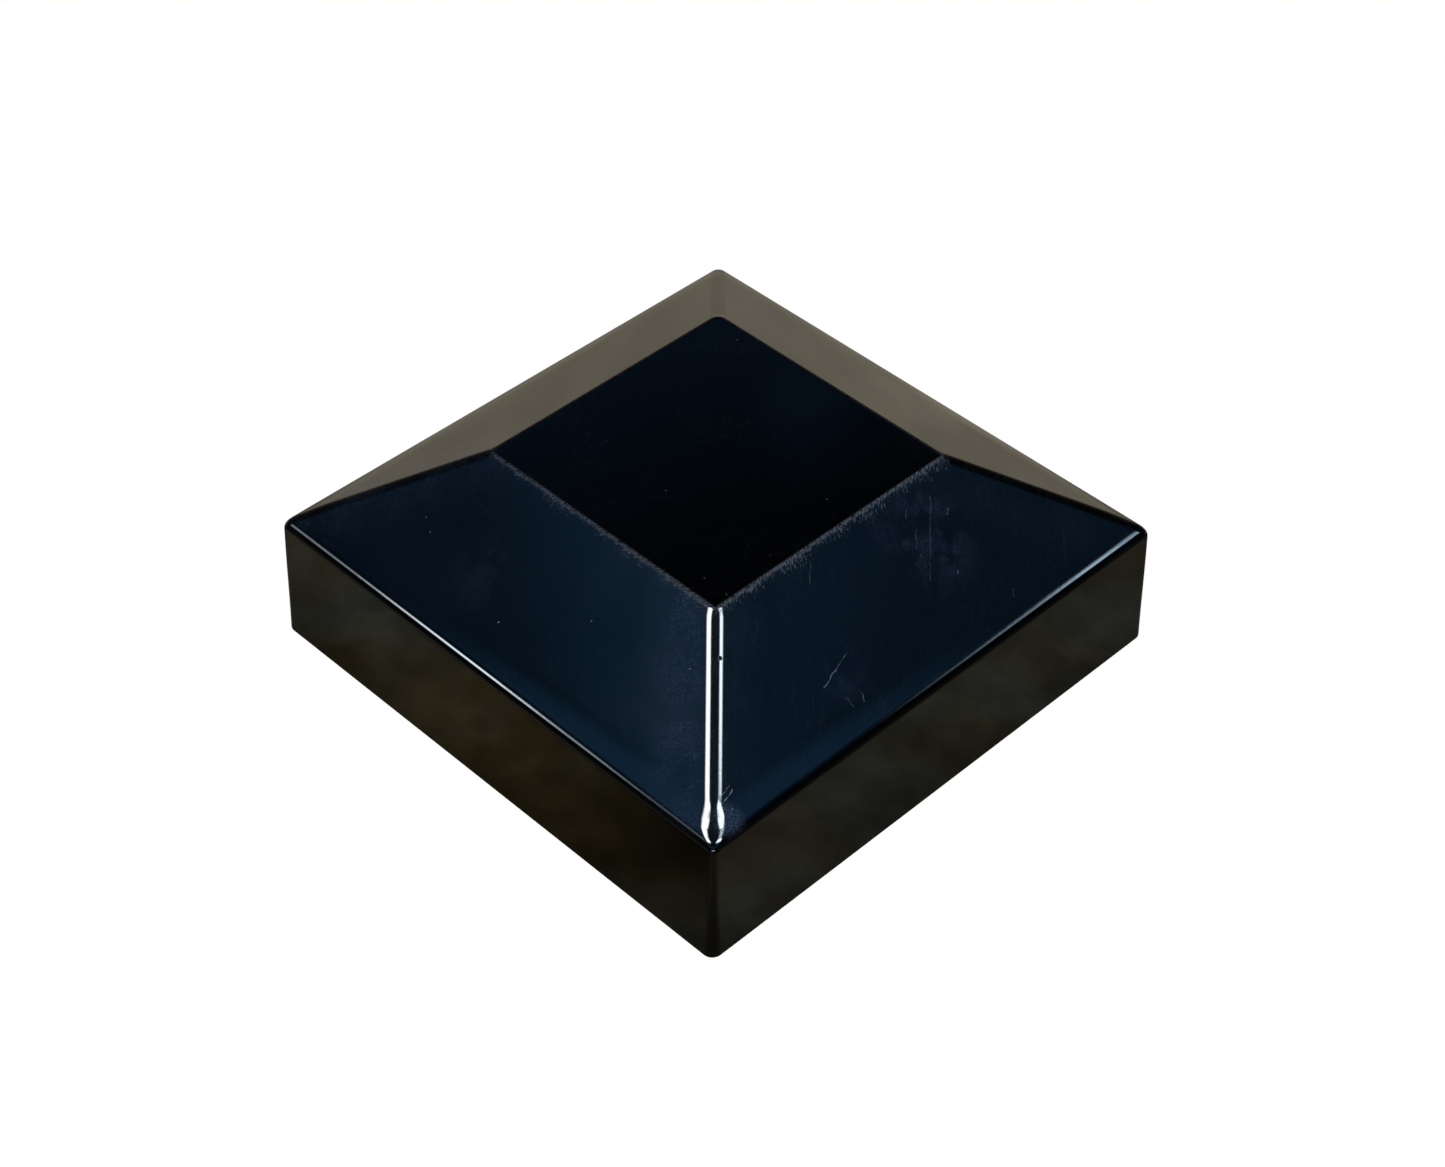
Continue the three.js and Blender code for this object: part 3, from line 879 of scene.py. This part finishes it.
def screw_head_rows(steps=14):
    """(radius, height) from near the middle of the domed head out to its rim and up to its flat top."""
    rim = HEAD_TOP - SCREW_HEAD_RIM
    rows = []
    for k in range(1, steps):
        angle = math.pi / 2 * k / steps
        rows.append((SCREW_HEAD_R * math.sin(angle), rim - (rim - HEAD_BOTTOM) * math.cos(angle) ** 0.8))
    rows += [(SCREW_HEAD_R, rim), (SCREW_HEAD_R, HEAD_TOP - SCREW_HEAD_BEVEL)]
    return rows + [(SCREW_HEAD_R - SCREW_HEAD_BEVEL, HEAD_TOP)]


def at_screw(made, quarter, sharp_degrees):
    """Finishes a round piece made on the cap's axis, and moves it to a screw's place."""
    made.data.transform(Matrix.Translation((SCREW_R, 0, 0)))
    smooth(made, sharp_degrees)
    turned(made, quarter)


def frame_screw(side, quarter, material):
    """Low domed screw with a cross recess, pointing up into its boss."""
    loops = [ring_points(radius, z, ROUND_STEPS) for radius, z in screw_head_rows()]
    angles = [2 * math.pi * s / ROUND_STEPS for s in range(ROUND_STEPS)]
    rings = math.ceil(SCREW_L / (THREAD_PITCH / 7))
    for k in range(rings + 1):
        z = HEAD_TOP + SCREW_L * k / rings
        radii = [screw_radius(z, a) for a in angles]
        loops.append([(r * math.cos(a), r * math.sin(a), z) for r, a in zip(radii, angles)])
    made = skinned("screw_" + side, loops)
    combine(made, cross_recess(), "DIFFERENCE")
    at_screw(made, quarter, 40)
    finish_piece(made, ["frame_screw_" + side], material)


def lock_washer(side, quarter, material):
    """Thin ring with sharp inward teeth, each twisted a little so that it bites."""
    outer_edge = [(0.1, 0.06), (0, 0.14), (0, 0.36), (0.1, 0.44)]  # inset and height, in millimetres
    inner_edge = [(0.08, 0.44), (0, 0.36), (0, 0.14), (0.08, 0.06)]
    count = TOOTH_STEPS * WASHER_TEETH
    loops = [ring_points(WASHER_R - inset * MM, HEAD_TOP + z * MM, count) for inset, z in outer_edge]
    for inset, z in inner_edge:
        loop = []
        for i in range(count):
            angle = 2 * math.pi * i / count
            spot = (i % TOOTH_STEPS) / TOOTH_STEPS
            on_tooth = spot < 0.5
            radius = WASHER_HOLE_R + inset * MM + (0 if on_tooth else WASHER_TOOTH)
            twist = (spot * 4 - 1) * WASHER_TWIST if on_tooth else 0
            loop.append((radius * math.cos(angle), radius * math.sin(angle), HEAD_TOP + z * MM + twist))
        loops.append(loop)
    made = skinned("washer_" + side, loops, closed=True)
    at_screw(made, quarter, 30)
    finish_piece(made, ["lock_washer_" + side], material)


def make_pieces():
    cap_shell(black_coat(), inside_coat())
    retainer_frame(zinc_plate())
    seat_gasket(foam_rubber())
    steel, bright = spring_steel(), screw_steel()
    for quarter, side in enumerate(SIDES):
        spring_clip(side, quarter, steel)
        frame_screw(side, quarter, bright)
        lock_washer(side, quarter, bright)


make_pieces()


# ---- Camera ----

CAMERA_DISTANCE = 0.4461
CAMERA_HEADING = math.radians(134.79)  # where it looks, anticlockwise from +X
CAMERA_DROP = math.radians(42.79)  # how far it looks down
CAMERA_ROLL = math.radians(0.68)
CAMERA_LENS = 70.85  # in millimetres
CAMERA_SENSOR = 36  # its width, in millimetres
CAMERA_AIM_RIGHT = 0.00102  # the aim, from the middle of the cap
CAMERA_AIM_UP = -0.00615

ONWARD = (math.cos(CAMERA_HEADING), math.sin(CAMERA_HEADING), 0)  # level, away from the camera
RIGHTWARD = (ONWARD[1], -ONWARD[0], 0)


def make_camera():
    level = math.cos(CAMERA_DROP)
    forward = Vector((ONWARD[0] * level, ONWARD[1] * level, -math.sin(CAMERA_DROP)))
    level_right = Vector(RIGHTWARD)
    level_up = level_right.cross(forward)
    right = math.cos(CAMERA_ROLL) * level_right + math.sin(CAMERA_ROLL) * level_up
    up = math.cos(CAMERA_ROLL) * level_up - math.sin(CAMERA_ROLL) * level_right
    aim = Vector((0, 0, TOTAL_H / 2)) + CAMERA_AIM_RIGHT * right + CAMERA_AIM_UP * up
    turn = Matrix((right, up, -forward)).transposed().to_4x4()
    data = bpy.data.cameras.new("camera")
    data.lens = CAMERA_LENS
    data.sensor_width = CAMERA_SENSOR
    data.clip_start = 0.01
    data.clip_end = 50
    made = bpy.data.objects.new("camera", data)
    made.matrix_world = Matrix.Translation(aim - forward * CAMERA_DISTANCE) @ turn
    bpy.context.scene.camera = in_scene(made)


make_camera()


# ---- Floor ----

WHITE = (1, 1, 1, 1)
FLOOR_HALF = 4.0
FLOOR_DROP = 0.00002  # keeps it clear of the rim

# The floor in the coat's reflections.
FLOOR_UNDER = (0.8, 0.8, 0.78, 1)  # below the cap
FLOOR_NEAR_SHADED = (0.165, 0.168, 0.135, 1)  # round it, in painted shadow
FLOOR_BROWN = (0.15, 0.115, 0.045, 1)  # in places there
FLOOR_EDGE = (0.03, 0.033, 0.027, 1)  # further off to the sides and in front
FLOOR_STRIP = (0.20, 0.22, 0.24, 1)  # a paler strip there on the left
FLOOR_FAR = (0.60, 0.54, 0.41, 1)  # beyond the cap


def floor_near(tree, place, side, onward, reach, blotches):
    """The floor round the cap, in painted shadow: blotched, brown in places, with painted contact shadow
    near the skirt and painted shadow before its corner.
    """
    mottle = tree.noise(place, 6 * MM, 3, 0.6, 8)
    warmth = tree.noise(place, 22 * MM, 2, 0.5, 5)
    leftward = tree.around(side, -42 * MM, 18 * MM, 32 * MM, 0.8)
    brown = tree.math("ADD", tree.ramp(warmth, 0.4, 0.65, 0, 0.6), leftward, clamp=True)
    # Painted shadow in front of the cap and before its corner.
    front = tree.product(tree.fall(onward, -70 * MM, -40 * MM), tree.fall(side, -26 * MM, 3 * MM, 0.75))
    corner = tree.product(
        tree.fall(tree.size(side), 3 * MM, 12 * MM, 0.3),
        tree.fall(onward, -70 * MM, -60 * MM),
    )
    # Painted shade: darker near the skirt, a little darker away from the far left, and in the painted
    # shadow in front; with blotches and mottle.
    shade = tree.product(
        tree.ramp(reach, 49 * MM, 56 * MM, 0.72, 1),
        tree.ramp(blotches, 0.3, 0.7, 0.75, 1.2),
        tree.ramp(mottle, 0.3, 0.7, 0.85, 1.15),
        tree.ramp(side, -45 * MM, -30 * MM, 1, 0.86),
        tree.less(1, tree.largest(front, corner)),
    )
    return tree.dimmed(shade, tree.painted(brown, FLOOR_NEAR_SHADED, FLOOR_BROWN))


def floor_material():
    """White floor. The gloss sees a dim warm surface with soft blotches, pale only under the cap."""
    tree, place = new_material("floor")
    side = tree.along(place, RIGHTWARD)
    onward = tree.along(place, ONWARD)
    x, y, _ = tree.split(place)
    reach = tree.largest(tree.size(x), tree.size(y))
    blotches = tree.noise(place, 16 * MM, 3, 0.55, 2)

    near = floor_near(tree, place, side, onward, reach, blotches)
    beside = tree.painted(tree.ramp(reach, 72 * MM, 100 * MM), near, FLOOR_EDGE)
    strip = tree.product(
        tree.around(reach, 92 * MM, 4 * MM, 14 * MM, 0.8),
        tree.fall(side, -12 * MM, 0),
        tree.fall(onward, -20 * MM, 0),
    )
    beside = tree.painted(strip, beside, FLOOR_STRIP)
    far_shade = tree.total(
        tree.ramp(side, -20 * MM, 20 * MM, 0.565, 0.595),
        tree.around(side, 56 * MM, 4 * MM, 12 * MM, 0.08),
    )
    far_shade = tree.product(far_shade, tree.ramp(blotches, 0.35, 0.65, 0.93, 1.06))
    far = tree.dimmed(far_shade, FLOOR_FAR)
    outside = tree.painted(tree.ramp(onward, 40 * MM, 78 * MM), beside, far)
    glow = tree.painted(tree.ramp(reach, 44 * MM, 47 * MM), FLOOR_UNDER, outside)

    in_gloss = tree.node("LightPath").outputs["Is Glossy Ray"]
    seen = tree.node("Emission", {"Color": tree.painted(in_gloss, WHITE, glow)})
    clear = tree.node("BsdfTransparent")
    from_below = tree.node("NewGeometry").outputs["Backfacing"]
    either = {0: from_below, 1: seen.outputs[0], 2: clear.outputs[0]}
    return tree.finish(tree.node("MixShader", either))


def make_floor():
    signs = [(-1, -1), (1, -1), (1, 1), (-1, 1)]
    corners = [(x * FLOOR_HALF, y * FLOOR_HALF, -FLOOR_DROP) for x, y in signs]
    mesh = mesh_from("floor", corners, [(0, 1, 2, 3)])
    mesh.materials.append(floor_material())
    made = add_object("floor", mesh)


# ---- Light for the matte surfaces ----

LIGHT_SIZE = 2.2
LIGHT_POWER = 44
LIGHT_ONWARD = 0.5
LIGHT_HEIGHT = 1.8


def make_light():
    """A large overhead softbox. The gloss sees the surroundings instead."""
    data = bpy.data.lights.new("overhead", "AREA")
    data.shape = "RECTANGLE"
    data.size = LIGHT_SIZE
    data.size_y = LIGHT_SIZE
    data.energy = LIGHT_POWER
    made = bpy.data.objects.new("overhead", data)
    place = Vector(ONWARD) * LIGHT_ONWARD + Vector((0, 0, LIGHT_HEIGHT))
    made.matrix_world = Matrix.Translation(place) @ place.to_track_quat("Z", "Y").to_matrix().to_4x4()
    made.visible_glossy = False
    in_scene(made)


# ---- Surroundings, for the reflections ----
# A direction has three parts, from -1 to 1: side (to the right), onward (away from the camera) and up.
# Its bearing is in degrees clockwise from onward, and its slant in degrees to the right of straight up.

SKY_MATTE = (0.15, 0.15, 0.15, 1)
SKY_DARK = (0.002, 0.003, 0.005, 1)
SKY_ZENITH = (0.05, 0.11, 0.17, 1)
SKY_HORIZON = (0.10, 0.09, 0.062, 1)
SKY_NAVY = (0.035, 0.114, 0.238, 1)
SKY_HAZE = (0.42, 0.52, 0.68, 1)
SKY_LAMP_LEFT = (25, 26.5, 26, 1)
SKY_LAMP_RIGHT = (23, 26, 28, 1)
SKY_FRONT = (6, 6.5, 7, 1)

# Each soft window leans by some degrees per unit of height, and stands at its true bearing at one height.
# Its heights and bearings are ramps whose product is the window: from, to, share before, share after.
WINDOW_LEFT = {
    "colour": (18, 20.5, 22.5, 1),
    "turn": -1,
    "true_at": 0.44,
    "lean": 25,
    "heights": [(0.26, 0.36, 0, 1), (0.45, 0.53, 1, 0)],
    "bearings": [
        (88.5, 90.5, 0, 1),
        (92.6, 95.8, 0.16, 0.95),
        (96.8, 98.4, 1, 0.25),
        (99.9, 100.8, 1, 0.25),
        (104, 109, 1, 0),
    ],
}
WINDOW_RIGHT = {
    "colour": (9, 12.5, 15.5, 1),
    "turn": 1,
    "true_at": 0.58,
    "lean": 38,
    "heights": [(0.44, 0.52, 0, 1), (0.56, 0.60, 1, 0)],
    "bearings": [
        (83.4, 84.8, 0, 1),
        (85.4, 86.7, 0.45, 0.85),
        (86.9, 88, 1, 0.3),
        (88.3, 93.6, 1, 0),
    ],
}


def degrees_of(tree, a, b):
    """The angle whose tangent is a over b."""
    return tree.product(tree.math("ARCTAN2", a, b), 180 / math.pi)


def sky_navy(tree, side, onward, up, bearing):
    """Navy bands: one on each side, brighter overhead and towards the camera, and one beyond the cap."""
    on_left = tree.fall(side, -0.2, 0.2)
    low = tree.total(tree.ramp(up, 0.54, 0.67, 0, 0.7), tree.ramp(up, 0.34, 0.44, 0, 0.3))
    rise = tree.product(tree.ramp(up, 0.712, 0.748), tree.ramp(on_left, 0, 1, 0.45, 1.15))
    bands = tree.product(
        low,
        tree.fall(up, 0.80, 0.90),
        tree.fall(onward, 0.3, 0.5),
        tree.total(rise, 1),
    )
    toward = tree.product(
        tree.ramp(tree.size(bearing), 85, 91),
        tree.around(up, 0.675, 0.03, 0.08, 2),
        tree.ramp(on_left, 0, 1, 0.8, 1),
    )
    tilted = tree.math("MULTIPLY_ADD", side, 0.25, up)
    far = tree.ramp(onward, 0.55, 0.65)
    beyond = tree.product(tree.ramp(up, 0.5, 0.58), tree.ramp(tilted, 0.60, 0.68, 0.52, 0.02), far)
    cloud = tree.product(
        tree.around(side, 0.028, 0.004, 0.022),
        tree.around(up, 0.632, 0.004, 0.014, 0.35),
        far,
    )
    return tree.total(bands, toward, beyond, cloud)


def sky_haze(tree, side, onward):
    """A pale haze ahead on both sides."""
    aside = tree.size(side)
    return tree.product(
        tree.ramp(aside, 0.2, 0.35),
        tree.fall(aside, 0.47, 0.56),
        tree.around(onward, 0.31, 0.08, 0.15),
    )


def sky_lamps(tree, side, onward, up):
    """Long lamps overhead, wider towards the camera: the share of the left one, and of the right one."""
    slant = degrees_of(tree, side, up)
    length = tree.product(tree.fall(onward, 0.1, 0.18), tree.ramp(onward, -0.31, -0.22))
    wider = tree.fall(onward, -0.21, -0.105, 16)
    nearer = tree.product(wider, 0.2)
    left = tree.product(tree.ramp(slant, -39, -28.5), tree.fall(tree.less(slant, nearer), -17.5, -12.5))
    right = tree.product(
        tree.ramp(tree.total(slant, nearer), 13.5, 19),
        tree.fall(tree.less(slant, wider), 23.5, 34),
        tree.largest(tree.ramp(onward, -0.07, -0.015, 0.28, 0.95), tree.fall(onward, -0.115, -0.095)),
    )
    return tree.product(left, length), tree.product(right, length)


def sky_front(tree, side, onward, up):
    """A small dim light low behind the camera."""
    ahead = degrees_of(tree, onward, up)
    return tree.product(tree.around(ahead, -86, 4, 9), tree.around(side, 0, 0.15, 0.4))


def sky_window(tree, window, up, bearing):
    """How much of a leaning window shows."""
    lean = tree.product(tree.less(up, window["true_at"]), window["lean"])
    leaning = tree.math("MULTIPLY_ADD", bearing, window["turn"], lean)
    rows = [tree.ramp(up, *row) for row in window["heights"]]
    rows += [tree.ramp(leaning, *row) for row in window["bearings"]]
    return tree.product(*rows)


def make_world():
    """White to the camera, grey to matte surfaces. In gloss dark, with navy bands, lamps and windows."""
    world = bpy.data.worlds.new("surroundings")
    world.cycles.sampling_method = "NONE"
    bpy.context.scene.world = world
    tree = Tree(world)
    way = tree.node("TexCoord").outputs["Generated"]
    side = tree.along(way, RIGHTWARD)
    onward = tree.along(way, ONWARD)
    up = tree.along(way, (0, 0, 1))
    bearing = degrees_of(tree, side, onward)

    glossy = tree.painted(tree.ramp(up, 0.9, 0.97), SKY_DARK, SKY_ZENITH)
    horizon = tree.product(tree.fall(up, 0, 0.35), tree.ramp(onward, 0.1, 0.4))
    glossy = tree.painted(horizon, glossy, SKY_HORIZON)
    glossy = tree.painted(sky_navy(tree, side, onward, up, bearing), glossy, SKY_NAVY, clamp=False)
    glossy = tree.painted(sky_haze(tree, side, onward), glossy, SKY_HAZE)
    lamp_left, lamp_right = sky_lamps(tree, side, onward, up)
    glossy = tree.painted(lamp_left, glossy, SKY_LAMP_LEFT)
    glossy = tree.painted(lamp_right, glossy, SKY_LAMP_RIGHT)
    glossy = tree.painted(sky_front(tree, side, onward, up), glossy, SKY_FRONT)
    for window in (WINDOW_LEFT, WINDOW_RIGHT):
        glossy = tree.painted(sky_window(tree, window, up, bearing), glossy, window["colour"])

    path = tree.node("LightPath").outputs
    colour = tree.painted(path["Is Glossy Ray"], SKY_MATTE, glossy)
    colour = tree.painted(path["Is Camera Ray"], colour, WHITE)
    tree.finish(tree.node("Background", {"Color": colour}), "OutputWorld")


make_floor()
make_light()
make_world()
bpy.context.scene.view_settings.view_transform = "Standard"
